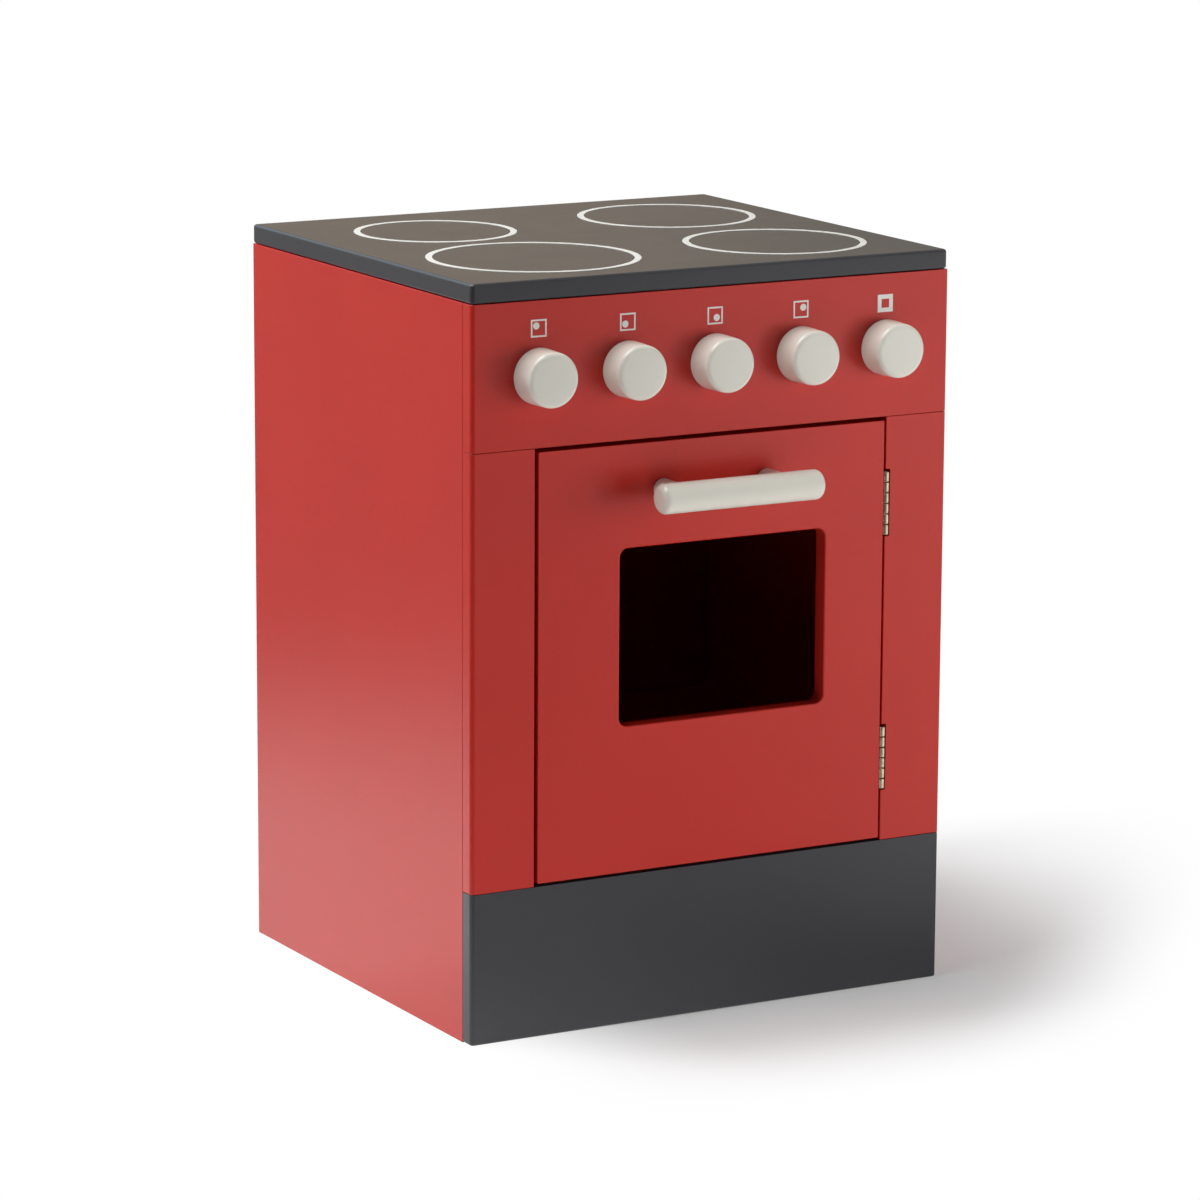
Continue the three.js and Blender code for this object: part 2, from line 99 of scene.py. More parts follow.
# Printed marks and hob rings
OVEN_KNOB = KNOB_NUMBERS[-1]
PRINT_THICKNESS = 0.12 * MM
MARK_RISE = 30 * MM
MARK_ROW_FALL_SHARE = 0.0065
MARK_SIDE = 11.4 * MM
MARK_LINE = 1.05 * MM
OVEN_MARK_SIDE = 11.7 * MM
OVEN_MARK_LINE = 2.9 * MM
DOT_RADIUS = 2.3 * MM
DOT_STEPS = 48
DOT_PLACES = [(-1.8 * MM, 1.6 * MM), (-1.8 * MM, -1.3 * MM), (1.2 * MM, -1.4 * MM), (1.7 * MM, 1.2 * MM)]
RING_PLACES = ("front_left", "front_right", "rear_left", "rear_right")
RING_STROKE = 4.5 * MM
RING_STEPS = 192

# Hinges
HINGES = ("hinge_upper", "hinge_lower")
NOTCH_END_GAP = 0.75 * MM
NOTCH_FLOOR_GAP = 0.25 * MM
HINGE_TOP_DROP = 1 * MM
KNUCKLES = 6
KNUCKLE_GAP = 0.7 * MM
KNUCKLE_EASE = 0.4 * MM
KNUCKLE_EASE_STEPS = 3
BARREL_RADIUS = 2.25 * MM
PIN_BORE_RADIUS = 1.25 * MM
PIN_RADIUS = 1.1 * MM
PIN_DOME = 0.5 * MM
PIN_END_SHARE = 0.7
LEAF_EASE = 0.12 * MM
LEAF_THICKNESS = 0.8 * MM
LEAF_FRONT = 2.7 * MM
LEAF_BORE_RADIUS = 1.4 * MM
LEAF_BORE_STEPS = 24
SMALL_STEPS = 40

# Painted shade inside the cabinet: its inner faces get a darker red
INNER_SHADE_RED = (0.37, 0.0145, 0.009, 1)
INNER_SHADE_REACH = 1.5 * MM
INNER_SHADE_FADE = 0.8 * MM

# Noise in the paint and in the metal, with scales in waves a metre
CLOUDS = {"Scale": 9.0, "Detail": 3.0, "Roughness": 0.55}
CLOUD_ENDS = (0.3, 0.7)
PATCHES = {"Scale": 27.0, "Detail": 4.0, "Roughness": 0.6}
PEEL_HEIGHT = 0.4 * MM
LINES = {"Scale": 420.0, "Detail": 3.0}
LINE_STRETCH = (1.0, 1.0, 14.0)
LINE_HEIGHT = 0.3 * MM
STAINS = {"Scale": 240.0, "Detail": 4.0}
STAIN_ENDS = (0.42, 0.72)
STAIN_DULLING = 0.25

# Values that several finishes share
BOARD_COAT = {"Roughness": 0.20, "Peel Size": 620.0, "Peel Depth": 0.05, "Dulling": 0.08}
PRINT_COAT = {"Roughness": 0.5, "Mottle": 0.04, "Peel Size": 1800.0, "Peel Depth": 0.08, "Dulling": 0.1}

# Camera
CAMERA_PLACE = Vector((-1.7167, -3.0648, 0.9848))
CAMERA_AZIMUTH = math.radians(29.158)
CAMERA_FALL = math.radians(11.752)
CAMERA_ROLL = math.radians(0.299)
CAMERA_NEAR = 0.1
CAMERA_FAR = 50
SENSOR_WIDTH = 36.0
LENS = 158.58

# Lamps. The two that fill in the front show in no gloss.
LAMPS = {
    "key_left": dict(place=(-2.0, 1.5, 1.3), target=(0, 0, 0.25), size=(1.2, 1.2), energy=23.6),
    "top_soft": dict(place=(-0.8, 0.18, 2.2), target=(0, 0, 0.25), size=(1.2, 1.2), energy=48),
    "fill_right": dict(place=(1.0, -0.98, 0.37), target=(0.05, -0.15, 0.25), size=(1.0, 0.6), energy=7.1,
                       in_gloss=False),
    "fill_front": dict(place=(0.52, -1.12, 0.32), target=(0.12, -0.15, 0.25), size=(0.8, 0.6), energy=2.0,
                       in_gloss=False),
}

# The room that gloss reflects
WHITE = (1, 1, 1, 1)
WORLD_FILL = 0.025
ROOM = (0.32, 0.32, 0.33, 1)
ROOM_FRONT_LEFT = (0.03, 0.03, 0.03, 1)
DARK_WAY = (-0.80, -0.60, 0)
DARK_FADE = (0.35, 0.8)
ROOM_BEHIND = (0.41, 0.335, 0.25, 1)
ROOM_BEHIND_RIGHT = (0.21, 0.20, 0.185, 1)
BEHIND_ENDS = (0.1, 0.6)
BEHIND_RIGHT_TURN = (math.radians(29), math.radians(35))
WINDOW_LIGHT = (0.75, 1.05, 1.3, 1)
WINDOW_WAY = (-0.20, 0.86, 0.47)
WINDOW_FADE = (0.92, 0.98)

# Floor: where it turns to plain white for the camera
FLOOR_REACH = 6.0
FLOOR_DROP = 0.3 * MM
FLOOR_WHITE = (0.86, 0.86, 0.86, 1)
FLOOR_PALENESS = 0.23
DIAGONAL_WAY = (0.707, -0.707, 0)
DIAGONAL_FADE = (0.26, 0.39)
FRONT_FADE = (-0.195, -0.36)
RIGHT_FADE = (0.13, 0.62)
LEFT_FADE = (-0.02, -0.19)
BEHIND_FADE = (0.14, 0.25)

# Floor: how bright gloss sees it
SHEEN_NEAR_RADIUS = 0.5
SHEEN_FAR_RADIUS = 1.35
SHEEN_ENDS = (-0.4, 0.3)
SHEEN_LEFT = 1.30
SHEEN_RIGHT = 0.40
SHEEN_FRONT_RIGHT = 0.82
FRONT_RIGHT_TURN = (math.radians(12), math.radians(42))
FRONT_RIGHT_REAR = (math.radians(80), math.radians(110))
DARK_SHIFT = 0.45
PLINTH_SHADE_PLACE = (0.20, -0.20, 0)
PLINTH_SHADE_FADE = (-0.12, 0.38)

# Floor: the light that it throws back on the foot of the left side
BOUNCE_PLACE = (-0.31, -0.30, 0)
BOUNCE_FADE = (0.60, 0.10)
BOUNCE_STRENGTH = 0.36


# Meshes and objects

def grid_mesh(name, grid, loop_rows=False):
    """A closed mesh from a grid of points. Neighbouring points make quads and each row closes on
    itself. The last row joins the first one, or both are closed with a flat face."""
    rows, columns = grid.shape[:2]
    index = np.arange(rows * columns).reshape(rows, columns)
    here = index if loop_rows else index[:-1]
    above = np.roll(index, -1, axis=0) if loop_rows else index[1:]
    corners = [here, np.roll(here, -1, axis=1), np.roll(above, -1, axis=1), above]
    faces = np.stack(corners, axis=-1).reshape(-1, 4).tolist()
    if not loop_rows:
        faces += [index[0][::-1].tolist(), index[-1].tolist()]
    mesh = bpy.data.meshes.new(name)
    mesh.from_pydata(grid.reshape(-1, 3).tolist(), [], faces)
    edges = bmesh.new()
    edges.from_mesh(mesh)
    bmesh.ops.remove_doubles(edges, verts=edges.verts, dist=MERGE_DISTANCE)
    bmesh.ops.dissolve_degenerate(edges, edges=edges.edges, dist=MERGE_DISTANCE)
    bmesh.ops.recalc_face_normals(edges, faces=edges.faces)
    edges.to_mesh(mesh)
    edges.free()
    return mesh


def joined_mesh(name, parts):
    """One mesh that holds several closed ones."""
    joined = bmesh.new()
    for part in parts:
        joined.from_mesh(part)
    mesh = bpy.data.meshes.new(name)
    joined.to_mesh(mesh)
    joined.free()
    return mesh


def new_object(mesh):
    """An object in the scene with the name of its mesh."""
    piece = bpy.data.objects.new(mesh.name, mesh)
    bpy.context.scene.collection.objects.link(piece)
    return piece


def smooth_round_forms(piece):
    """Rounded stretches are shaded smooth, and the normals lean to the large flat faces."""
    piece.data.shade_smooth()
    piece.data.set_sharp_from_angle(angle=ROUND_FORM_ANGLE)
    weigh = piece.modifiers.new("even_normals", "WEIGHTED_NORMAL")
    weigh.keep_sharp = True


def cut_away(piece, cutter):
    """Cuts a closed mesh out of a piece, and leaves no modifier behind."""
    tool = new_object(cutter)
    cut = piece.modifiers.new("cut", "BOOLEAN")
    cut.operation, cut.solver, cut.object = "DIFFERENCE", "EXACT", tool
    bpy.context.view_layer.update()
    result = bpy.data.meshes.new_from_object(piece.evaluated_get(bpy.context.evaluated_depsgraph_get()))
    piece.modifiers.remove(cut)
    old, piece.data = piece.data, result
    bpy.data.objects.remove(tool)
    bpy.data.meshes.remove(old)


# What the construction model says

def corners_of(part):
    """The lowest and the highest corner of a node at rest."""
    low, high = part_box(part)
    return np.array(low), np.array(high)


def middle_of(part):
    low, high = corners_of(part)
    return (low + high) / 2


def body_of(part):
    bodies = frame["record"]["behaviour"]["bodies"]
    return next(body for body, parts in bodies.items() if part in parts)


def slot_of(part):
    subparts = frame["record"]["subparts"]
    return next(entry["material_slot"] for entry in subparts if entry["node"] == part)


def stands_for(piece, part, material):
    """The piece takes the place of a construction node: it is shaded smooth, takes the given material and
    rides on the node's body, and the node is hidden.
    """
    smooth_round_forms(piece)
    piece.data.materials.clear()
    piece.data.materials.append(material)
    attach(piece, body_of(part))
    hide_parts(part)


# Surfaces

def corner_arcs(steps, first=0):
    """The points of four quarter circles, one for each corner of a rounded outline. The first of
    them starts a number of quarter turns from the outline's first axis. Each point has the number
    of its corner, its way out from the centre of its circle, and the signs of its corner's place."""
    arc = np.linspace(0, QUARTER, steps + 1)
    corner = np.repeat(np.arange(4), len(arc))
    angle = np.tile(arc, 4) + (corner + first) * QUARTER
    halfway = (corner + first + 0.5) * QUARTER
    out = np.stack([np.cos(angle), np.sin(angle)], axis=-1)
    side = np.sign(np.stack([np.cos(halfway), np.sin(halfway)], axis=-1))
    return corner, out, side


def rounded_box(name, low, high, radius):
    """A box with round arrises: each point of a small sphere is pushed out to the corner of the
    inner box that it faces."""
    _, out, side = corner_arcs(ARRIS_STEPS)
    arc = np.linspace(0, QUARTER, ARRIS_STEPS + 1)
    up = np.concatenate([arc - QUARTER, arc])
    ball = np.stack([
        np.outer(np.cos(up), out[:, 0]),
        np.outer(np.cos(up), out[:, 1]),
        np.outer(np.sin(up), np.ones(len(out))),
    ], axis=-1)
    end = np.repeat([-1, 1], len(arc))
    facing = np.stack(np.broadcast_arrays(side[None, :, 0], side[None, :, 1], end[:, None]), axis=-1)
    grid = (low + high) / 2 + facing * ((high - low) / 2 - radius) + ball * radius
    return grid_mesh(name, grid)


def eased_board(name, low, high, corners, arris, foot_arris=None):
    """A board whose upright corners have radii of their own, from the front left one round to the
    rear left one. Its outline is carried from foot to top, and drawn in along a quarter circle at
    both ends. A corner drawn in by more than its radius moves on as a sharp one."""
    foot = arris if foot_arris is None else foot_arris
    corner, out, side = corner_arcs(ARRIS_STEPS, first=2)
    radius = np.array(corners)[corner]
    centre = (low[:2] + high[:2]) / 2 + side * ((high[:2] - low[:2]) / 2 - radius[:, None])
    arc = np.linspace(0, QUARTER, ARRIS_STEPS + 1)
    drawn_in = 1 - np.cos(arc)
    rise = 1 - np.sin(arc)
    inset = np.concatenate([foot * drawn_in[::-1], arris * drawn_in])
    height = np.concatenate([low[2] + foot * rise[::-1], high[2] - arris * rise])
    left_over = (radius[None, :] - inset[:, None])[..., None]
    flat = centre + side * np.minimum(left_over, 0) + np.maximum(left_over, 0) * out
    upright = np.repeat(height[:, None], len(out), axis=1)[..., None]
    return grid_mesh(name, np.concatenate([flat, upright], axis=-1))


def rounded_outline(low, high, radius):
    """The corner centres and the ways out of a rounded rectangle in the XZ plane."""
    _, out, side = corner_arcs(WINDOW_CORNER_STEPS)
    return (low + high) / 2 + side * ((high - low) / 2 - radius), out


def upright_rings(outlines, depths):
    """A grid of points: each outline lies in the XZ plane, at a place of its own along Y."""
    y = np.repeat(np.array(depths)[:, None], outlines.shape[1], axis=1)
    return np.stack([outlines[..., 0], y, outlines[..., 1]], axis=-1)


def turned(name, profile, centre, axis, steps=ROUND_STEPS, loop=False):
    """A turned form: each point of the profile, its radius and its place along the axis, is
    carried once round the axis."""
    radius, along = np.array(profile).T
    angle = np.linspace(0, FULL_TURN, steps, endpoint=False)
    across = np.outer(radius, np.cos(angle))
    beside = np.outer(radius, np.sin(angle))
    straight = np.repeat(along[:, None], steps, axis=1)
    order = {
        "X": (straight, across, beside),
        "Y": (across, straight, beside),
        "Z": (across, beside, straight),
    }
    return grid_mesh(name, np.stack(order[axis], axis=-1) + np.array(centre), loop_rows=loop)


def quarter_arc(centre_radius, centre_along, radius, start, steps=ARRIS_STEPS):
    """Profile points of a quarter circle that starts at an angle in quarter turns."""
    angle = (start + np.linspace(0, 1, steps + 1)) * QUARTER
    return list(zip(centre_radius + radius * np.cos(angle), centre_along + radius * np.sin(angle)))


def bore(centre, radius, depth, axis="Y", steps=BORE_STEPS):
    """A round cutter, centred on the middle of its depth."""
    half = depth / 2
    return turned("bore", [(0, -half), (radius, -half), (radius, half), (0, half)], centre, axis, steps)


# Finishes

NUMBER = "NodeSocketFloat"
COLOUR = "NodeSocketColor"
VECTOR = "NodeSocketVector"
SURFACE_OUTPUTS = {"Colour": COLOUR, "Roughness": NUMBER, "Normal": VECTOR}


def new_group(name, inputs, outputs):
    """An empty shader node group with named sockets, each given as its name and kind."""
    tree = bpy.data.node_groups.new(name, "ShaderNodeTree")
    for way, sockets in (("INPUT", inputs), ("OUTPUT", outputs)):
        for socket, kind in sockets.items():
            tree.interface.new_socket(socket, in_out=way, socket_type=kind)
    return tree


def node(tree, kind, values=None, **settings):
    """Adds a node. Its settings are attributes; values maps a socket to a number or to an output."""
    made = tree.nodes.new(kind)
    for name, value in settings.items():
        setattr(made, name, value)
    for socket, value in (values or {}).items():
        if isinstance(value, bpy.types.NodeSocket):
            tree.links.new(value, made.inputs[socket])
        else:
            made.inputs[socket].default_value = value
    return made


def maths(tree, operation, *values):
    """The result of a maths node on one to three numbers or outputs."""
    return node(tree, "ShaderNodeMath", dict(enumerate(values)), operation=operation).outputs[0]


def vector_maths(tree, operation, *values):
    """The result of a vector maths node: a number for a length, a distance or a dot product."""
    made = node(tree, "ShaderNodeVectorMath", dict(enumerate(values)), operation=operation)
    return made.outputs["Value" if operation in ("LENGTH", "DISTANCE", "DOT_PRODUCT") else "Vector"]


def carried_over(tree, value, ends, results=(0.0, 1.0), way="LINEAR"):
    """A number that goes from the first result to the second while a value goes from the first end
    to the second."""
    sockets = {"Value": value, "From Min": ends[0], "From Max": ends[1]}
    sockets.update({"To Min": results[0], "To Max": results[1]})
    return node(tree, "ShaderNodeMapRange", sockets, interpolation_type=way).outputs[0]


def faded(tree, value, ends, strength=1.0):
    """A soft step from nought to a strength between two ends."""
    return carried_over(tree, value, ends, (0.0, strength), "SMOOTHSTEP")


def blended(tree, share, first, second):
    """The first colour, turning into the second as the share goes to one."""
    mix = node(tree, "ShaderNodeMix", {"Factor": share, "A": first, "B": second}, data_type="RGBA")
    return mix.outputs[2]


def noise(tree, place, values):
    return node(tree, "ShaderNodeTexNoise", {"Vector": place, **values}).outputs["Fac"]


def make_paint_group():
    """Sprayed paint on fine board: a faint orange peel, soft mottling of the colour, and patches
    that are a little duller."""
    tree = new_group("sprayed_paint", {
        "Colour": COLOUR, "Roughness": NUMBER, "Mottle": NUMBER, "Peel Size": NUMBER, "Peel Depth": NUMBER,
        "Dulling": NUMBER}, SURFACE_OUTPUTS)
    given = tree.nodes.new("NodeGroupInput").outputs
    place = node(tree, "ShaderNodeTexCoord").outputs["Object"]
    peel = noise(tree, place, {"Scale": given["Peel Size"]})
    patch = noise(tree, place, PATCHES)
    swing = carried_over(tree, noise(tree, place, CLOUDS), CLOUD_ENDS, (-1.0, 1.0))
    gain = maths(tree, "MULTIPLY_ADD", swing, given["Mottle"], 1.0)
    tint = node(tree, "ShaderNodeVectorMath", {0: given["Colour"], "Scale": gain}, operation="SCALE")
    dull = maths(tree, "MULTIPLY_ADD", patch, given["Dulling"], given["Roughness"])
    skin = node(tree, "ShaderNodeBump", {"Height": peel, "Distance": PEEL_HEIGHT,
                                         "Strength": given["Peel Depth"]})
    node(tree, "NodeGroupOutput", {"Colour": tint.outputs[0], "Roughness": dull, "Normal": skin.outputs[0]})
    return tree


def make_metal_group():
    """Drawn or rolled metal: fine lines along one way, and stains of tarnish that dull it."""
    tree = new_group("worked_metal", {
        "Colour": COLOUR, "Tarnish Colour": COLOUR, "Roughness": NUMBER, "Tarnish": NUMBER,
        "Line Depth": NUMBER}, SURFACE_OUTPUTS)
    given = tree.nodes.new("NodeGroupInput").outputs
    place = node(tree, "ShaderNodeTexCoord").outputs["Object"]
    stretched = node(tree, "ShaderNodeMapping", {"Vector": place, "Scale": LINE_STRETCH}).outputs[0]
    lines = noise(tree, stretched, LINES)
    amount = carried_over(tree, noise(tree, place, STAINS), STAIN_ENDS, (0.0, given["Tarnish"]))
    tint = blended(tree, amount, given["Colour"], given["Tarnish Colour"])
    dull = maths(tree, "MULTIPLY_ADD", amount, STAIN_DULLING, given["Roughness"])
    skin = node(tree, "ShaderNodeBump", {"Height": lines, "Distance": LINE_HEIGHT,
                                         "Strength": given["Line Depth"]})
    node(tree, "NodeGroupOutput", {"Colour": tint, "Roughness": dull, "Normal": skin.outputs[0]})
    return tree


def make_inner_shade_group(low, high):
    """Painted shade for the inside of the cabinet: one colour outside a box and another inside it, with a
    soft step at
    each of its six sides: the inside is where the least of the six depths below a side is more than nought."""
    tree = new_group("painted_inner_shade", {"Outer Colour": COLOUR, "Inner Colour": COLOUR},
                     {"Colour": COLOUR})
    given = tree.nodes.new("NodeGroupInput").outputs
    place = node(tree, "ShaderNodeTexCoord").outputs["Object"]
    under = vector_maths(tree, "SUBTRACT", tuple(high), place)
    over = vector_maths(tree, "SUBTRACT", place, tuple(low))
    depth = node(tree, "ShaderNodeSeparateXYZ", {0: vector_maths(tree, "MINIMUM", under, over)}).outputs
    least = maths(tree, "MINIMUM", maths(tree, "MINIMUM", depth["X"], depth["Y"]), depth["Z"])
    inside = faded(tree, least, (0.0, INNER_SHADE_FADE))
    tint = blended(tree, inside, given["Outer Colour"], given["Inner Colour"])
    node(tree, "NodeGroupOutput", {"Colour": tint})
    return tree


def inside_of_cabinet():
    """The box that the inner faces of the sides and the back lie in, behind the door and above the
    oven floor, which keep the outer paint. Inside it the red is painted darker as shade."""
    left, right = corners_of("side_left")[1][0], corners_of("side_right")[0][0]
    door_back, back = corners_of("door")[1][1], corners_of("back_panel")[0][1]
    floor_top, top = corners_of("oven_shelf")[1][2], corners_of("worktop")[0][2]
    reach = INNER_SHADE_REACH
    low = np.array([left - reach, door_back + reach, floor_top + reach])
    high = np.array([right + reach, back + reach, top + reach])
    return low, high


def finish_material(name, group, given, shader):
    """A Principled material that takes its colour, roughness and normal from a shared effect. The
    other values go to the shader's own sockets."""
    material = bpy.data.materials.new(name)
    material.use_nodes = True
    tree = material.node_tree
    effect = node(tree, "ShaderNodeGroup", given, node_tree=group).outputs
    surface = tree.nodes["Principled BSDF"]
    tree.links.new(effect["Colour"], surface.inputs["Base Color"])
    tree.links.new(effect["Roughness"], surface.inputs["Roughness"])
    tree.links.new(effect["Normal"], surface.inputs["Normal"])
    for socket, value in shader.items():
        surface.inputs[socket].default_value = value
    return material


def paint_inner_shade(material, shade_group, inner_colour):
    """The paint effect takes its colour from the painted inner shade: a darker red on the inner faces of
    the cabinet.
    """
    tree = material.node_tree
    effect = next(made for made in tree.nodes if made.type == "GROUP")
    outer_colour = effect.inputs["Colour"].default_value
    darkened = node(tree, "ShaderNodeGroup", {"Outer Colour": outer_colour, "Inner Colour": inner_colour},
                node_tree=shade_group)
    tree.links.new(darkened.outputs["Colour"], effect.inputs["Colour"])


def make_materials():
    """One material for each finish, by the name of its slot."""
    paint, metal = make_paint_group(), make_metal_group()
    finishes = {
        "red_paint": finish_material("satin_red_paint", paint, {
            "Colour": (0.52, 0.023, 0.014, 1), "Mottle": 0.025, **BOARD_COAT}, {"IOR": 1.5}),
        "charcoal_paint": finish_material("satin_charcoal_paint", paint, {
            "Colour": (0.048, 0.048, 0.053, 1), "Mottle": 0.05, **BOARD_COAT}, {"IOR": 1.5}),
        "white_paint": finish_material("satin_white_paint", paint, {
            "Colour": (0.76, 0.735, 0.655, 1), "Roughness": 0.18, "Mottle": 0.012, "Peel Size": 500.0,
            "Peel Depth": 0.05, "Dulling": 0.08}, {"IOR": 1.5}),
        "white_print": finish_material("white_screen_print", paint, {
            "Colour": (0.82, 0.81, 0.76, 1), **PRINT_COAT}, {"IOR": 1.45}),
        # The rings are the same white print as the marks, made darker: painted shade for the stronger light
        # on the worktop
        "ring_print": finish_material("ring_print_painted_darker", paint, {
            "Colour": (0.72, 0.71, 0.675, 1), **PRINT_COAT}, {"IOR": 1.4}),
        "white_plastic": finish_material("moulded_white_plastic", paint, {
            "Colour": (0.80, 0.80, 0.77, 1), "Roughness": 0.42, "Mottle": 0.01, "Peel Size": 2200.0,
            "Peel Depth": 0.1, "Dulling": 0.06}, {"IOR": 1.46}),
        "ferrite": finish_material("sintered_ferrite", paint, {
            "Colour": (0.035, 0.034, 0.032, 1), "Roughness": 0.6, "Mottle": 0.2, "Peel Size": 2600.0,
            "Peel Depth": 0.3, "Dulling": 0.2}, {"IOR": 1.6}),
        "nickel": finish_material("pale_plated_steel", metal, {
            "Colour": (1.0, 0.85, 0.62, 1), "Tarnish Colour": (0.10, 0.06, 0.03, 1), "Roughness": 0.20,
            "Tarnish": 0.3, "Line Depth": 0.08}, {"Metallic": 0.85}),
        # The pin's dark brown is partly its steel and partly painted shade for the gaps between the
        # knuckles
        "pin_steel": finish_material("oiled_pin_steel", metal, {
            "Colour": (0.16, 0.12, 0.09, 1), "Tarnish Colour": (0.05, 0.03, 0.02, 1), "Roughness": 0.35,
            "Tarnish": 0.5, "Line Depth": 0.05}, {"Metallic": 1.0}),
        "steel": finish_material("zinc_plated_steel", metal, {
            "Colour": (0.60, 0.61, 0.62, 1), "Tarnish Colour": (0.40, 0.40, 0.38, 1), "Roughness": 0.32,
            "Tarnish": 0.4, "Line Depth": 0.06}, {"Metallic": 1.0}),
    }
    # Painted shade: the red paint is darker on the inner faces of the cabinet, for the dim inside of the
    # box
    paint_inner_shade(finishes["red_paint"], make_inner_shade_group(*inside_of_cabinet()), INNER_SHADE_RED)
    return finishes


# Boards

def painted_board(name):
    """A board with the same small arris all round."""
    return new_object(rounded_box(f"painted_{name}", *corners_of(name), PANEL_ARRIS))


def painted_side(name, outer_left):
    """A side board: crisp where it meets the front boards, and eased at the rear on its outer side."""
    eased = (SEAM_CORNER, REAR_CORNER) if outer_left else (REAR_CORNER, SEAM_CORNER)
    corners = (SEAM_CORNER, SEAM_CORNER, *eased)
    return new_object(eased_board(f"painted_{name}", *corners_of(name), corners, SEAM_ARRIS))


def painted_front_board(name, front_left=OUTER_CORNER, foot_arris=SEAM_ARRIS):
    """A board of the front: round at the oven's left edge, and crisp where it meets another board."""
    corners = (front_left, SEAM_CORNER, SEAM_CORNER, SEAM_CORNER)
    return new_object(eased_board(f"painted_{name}", *corners_of(name), corners, SEAM_ARRIS, foot_arris))


def painted_worktop():
    """The slab has the same round corner four times."""
    corners = (WORKTOP_CORNER,) * 4
    return new_object(eased_board("painted_worktop", *corners_of("worktop"), corners, WORKTOP_ARRIS))


def bore_through(board, name, parts):
    """Bores a board through its thickness in line with each part."""
    low, high = corners_of(name)
    for part in parts:
        x, _, z = middle_of(part)
        cut_away(board, bore((x, (low[1] + high[1]) / 2, z), BORE_RADIUS, 2 * (high[1] - low[1])))


def bored_panel():
    """The control panel has a bore for the screw of each knob."""
    panel = painted_front_board("control_panel")
    bore_through(panel, "control_panel", [f"knob_{number}" for number in KNOB_NUMBERS])
    return panel


def notched_stile():
    """The right stile has a notch through its inner edge for each hinge."""
    stile = painted_front_board("stile_right", front_left=SEAM_CORNER)
    low, high = corners_of("stile_right")
    thickness = high[1] - low[1]
    for hinge in HINGES:
        leaf_low, leaf_high = corners_of(f"{hinge}_stile_leaf")
        foot, top = leaf_low[2] - NOTCH_END_GAP, leaf_high[2] + NOTCH_END_GAP
        notch_low = np.array([low[0] - thickness, low[1] - thickness, foot])
        notch_high = np.array([leaf_high[0] + NOTCH_FLOOR_GAP, high[1] + thickness, top])
        cut_away(stile, rounded_box("notch", notch_low, notch_high, NOTCH_FLOOR_GAP))
    return stile


def windowed_door():
    """A board with a window: the section across its frame, rounded at four arrises, is carried
    round both outlines at once, so that each column runs from the edge of the board to the window."""
    low, high = corners_of("door")
    flat = [0, 2]
    window_low = low[flat] + np.array([WINDOW_LEFT_RAIL, WINDOW_FOOT_RAIL])
    window_high = high[flat] - np.array([WINDOW_RIGHT_RAIL, WINDOW_TOP_RAIL])
    edge_centres, out = rounded_outline(low[flat], high[flat], DOOR_CORNER)
    hole_centres, _ = rounded_outline(window_low, window_high, WINDOW_CORNER)
    turn = np.linspace(0, QUARTER, ARRIS_STEPS + 1)
    front, back = low[1], high[1]
    rows = []
    for centres, corner, arris, side in ((edge_centres, DOOR_CORNER, DOOR_ARRIS, 1),
                                         (hole_centres, WINDOW_CORNER, WINDOW_ARRIS, -1)):
        reach = corner - side * arris * (1 - np.sin(turn))
        drop = arris * (1 - np.cos(turn))
        section = np.concatenate([reach, reach[::-1]])[::side]
        depths = np.concatenate([front + drop, back - drop[::-1]])[::side]
        rows.append(upright_rings(centres + section[:, None, None] * out, depths))
    door = new_object(grid_mesh("painted_door", np.concatenate(rows), loop_rows=True))
    bore_through(door, "door", ("handle_post_left", "handle_post_right"))
    return door


def dress_boards(materials):
    boards = {
        "control_panel": bored_panel(),
        "worktop": painted_worktop(),
        "plinth": painted_front_board("plinth", foot_arris=PLINTH_FOOT_ARRIS),
        "stile_left": painted_front_board("stile_left"),
        "stile_right": notched_stile(),
        "side_left": painted_side("side_left", outer_left=True),
        "side_right": painted_side("side_right", outer_left=False),
        "bottom_board": painted_board("bottom_board"),
        "oven_shelf": painted_board("oven_shelf"),
        "back_panel": painted_board("back_panel"),
        "top_rail_front": painted_board("top_rail_front"),
        "top_rail_rear": painted_board("top_rail_rear"),
        "door": windowed_door(),
    }
    for name, board in boards.items():
        stands_for(board, name, materials[slot_of(name)])


# Knobs and handle

def knob_profile(radius, front, back):
    """From the end of the bore out over the rounded back edge and along the slightly tapered side,
    then over the front edge and in across a face that stands out as a parabola."""
    flat = radius - KNOB_DRAFT - KNOB_FRONT_ARRIS
    bore_end = back - KNOB_BORE_DEPTH
    profile = [(0, bore_end), (KNOB_BORE, bore_end), (KNOB_BORE, back)]
    profile += quarter_arc(radius - KNOB_BACK_ARRIS, back - KNOB_BACK_ARRIS, KNOB_BACK_ARRIS, 0)[::-1]
    profile += quarter_arc(flat, front + KNOB_CROWN + KNOB_FRONT_ARRIS, KNOB_FRONT_ARRIS, -1)[::-1]
    crown = np.linspace(1, 0, KNOB_CROWN_STEPS + 1)[1:]
    return profile + [(flat * share, front + KNOB_CROWN * share ** 2) for share in crown]


def dress_knobs(materials):
    for number in KNOB_NUMBERS:
        low, high = corners_of(f"knob_{number}")
        profile = knob_profile((high[0] - low[0]) / 2, low[1], high[1])
        centre = ((low[0] + high[0]) / 2, 0, (low[2] + high[2]) / 2)
        knob = new_object(turned(f"painted_knob_{number}", profile, centre, "Y"))
        stands_for(knob, f"knob_{number}", materials["white_paint"])


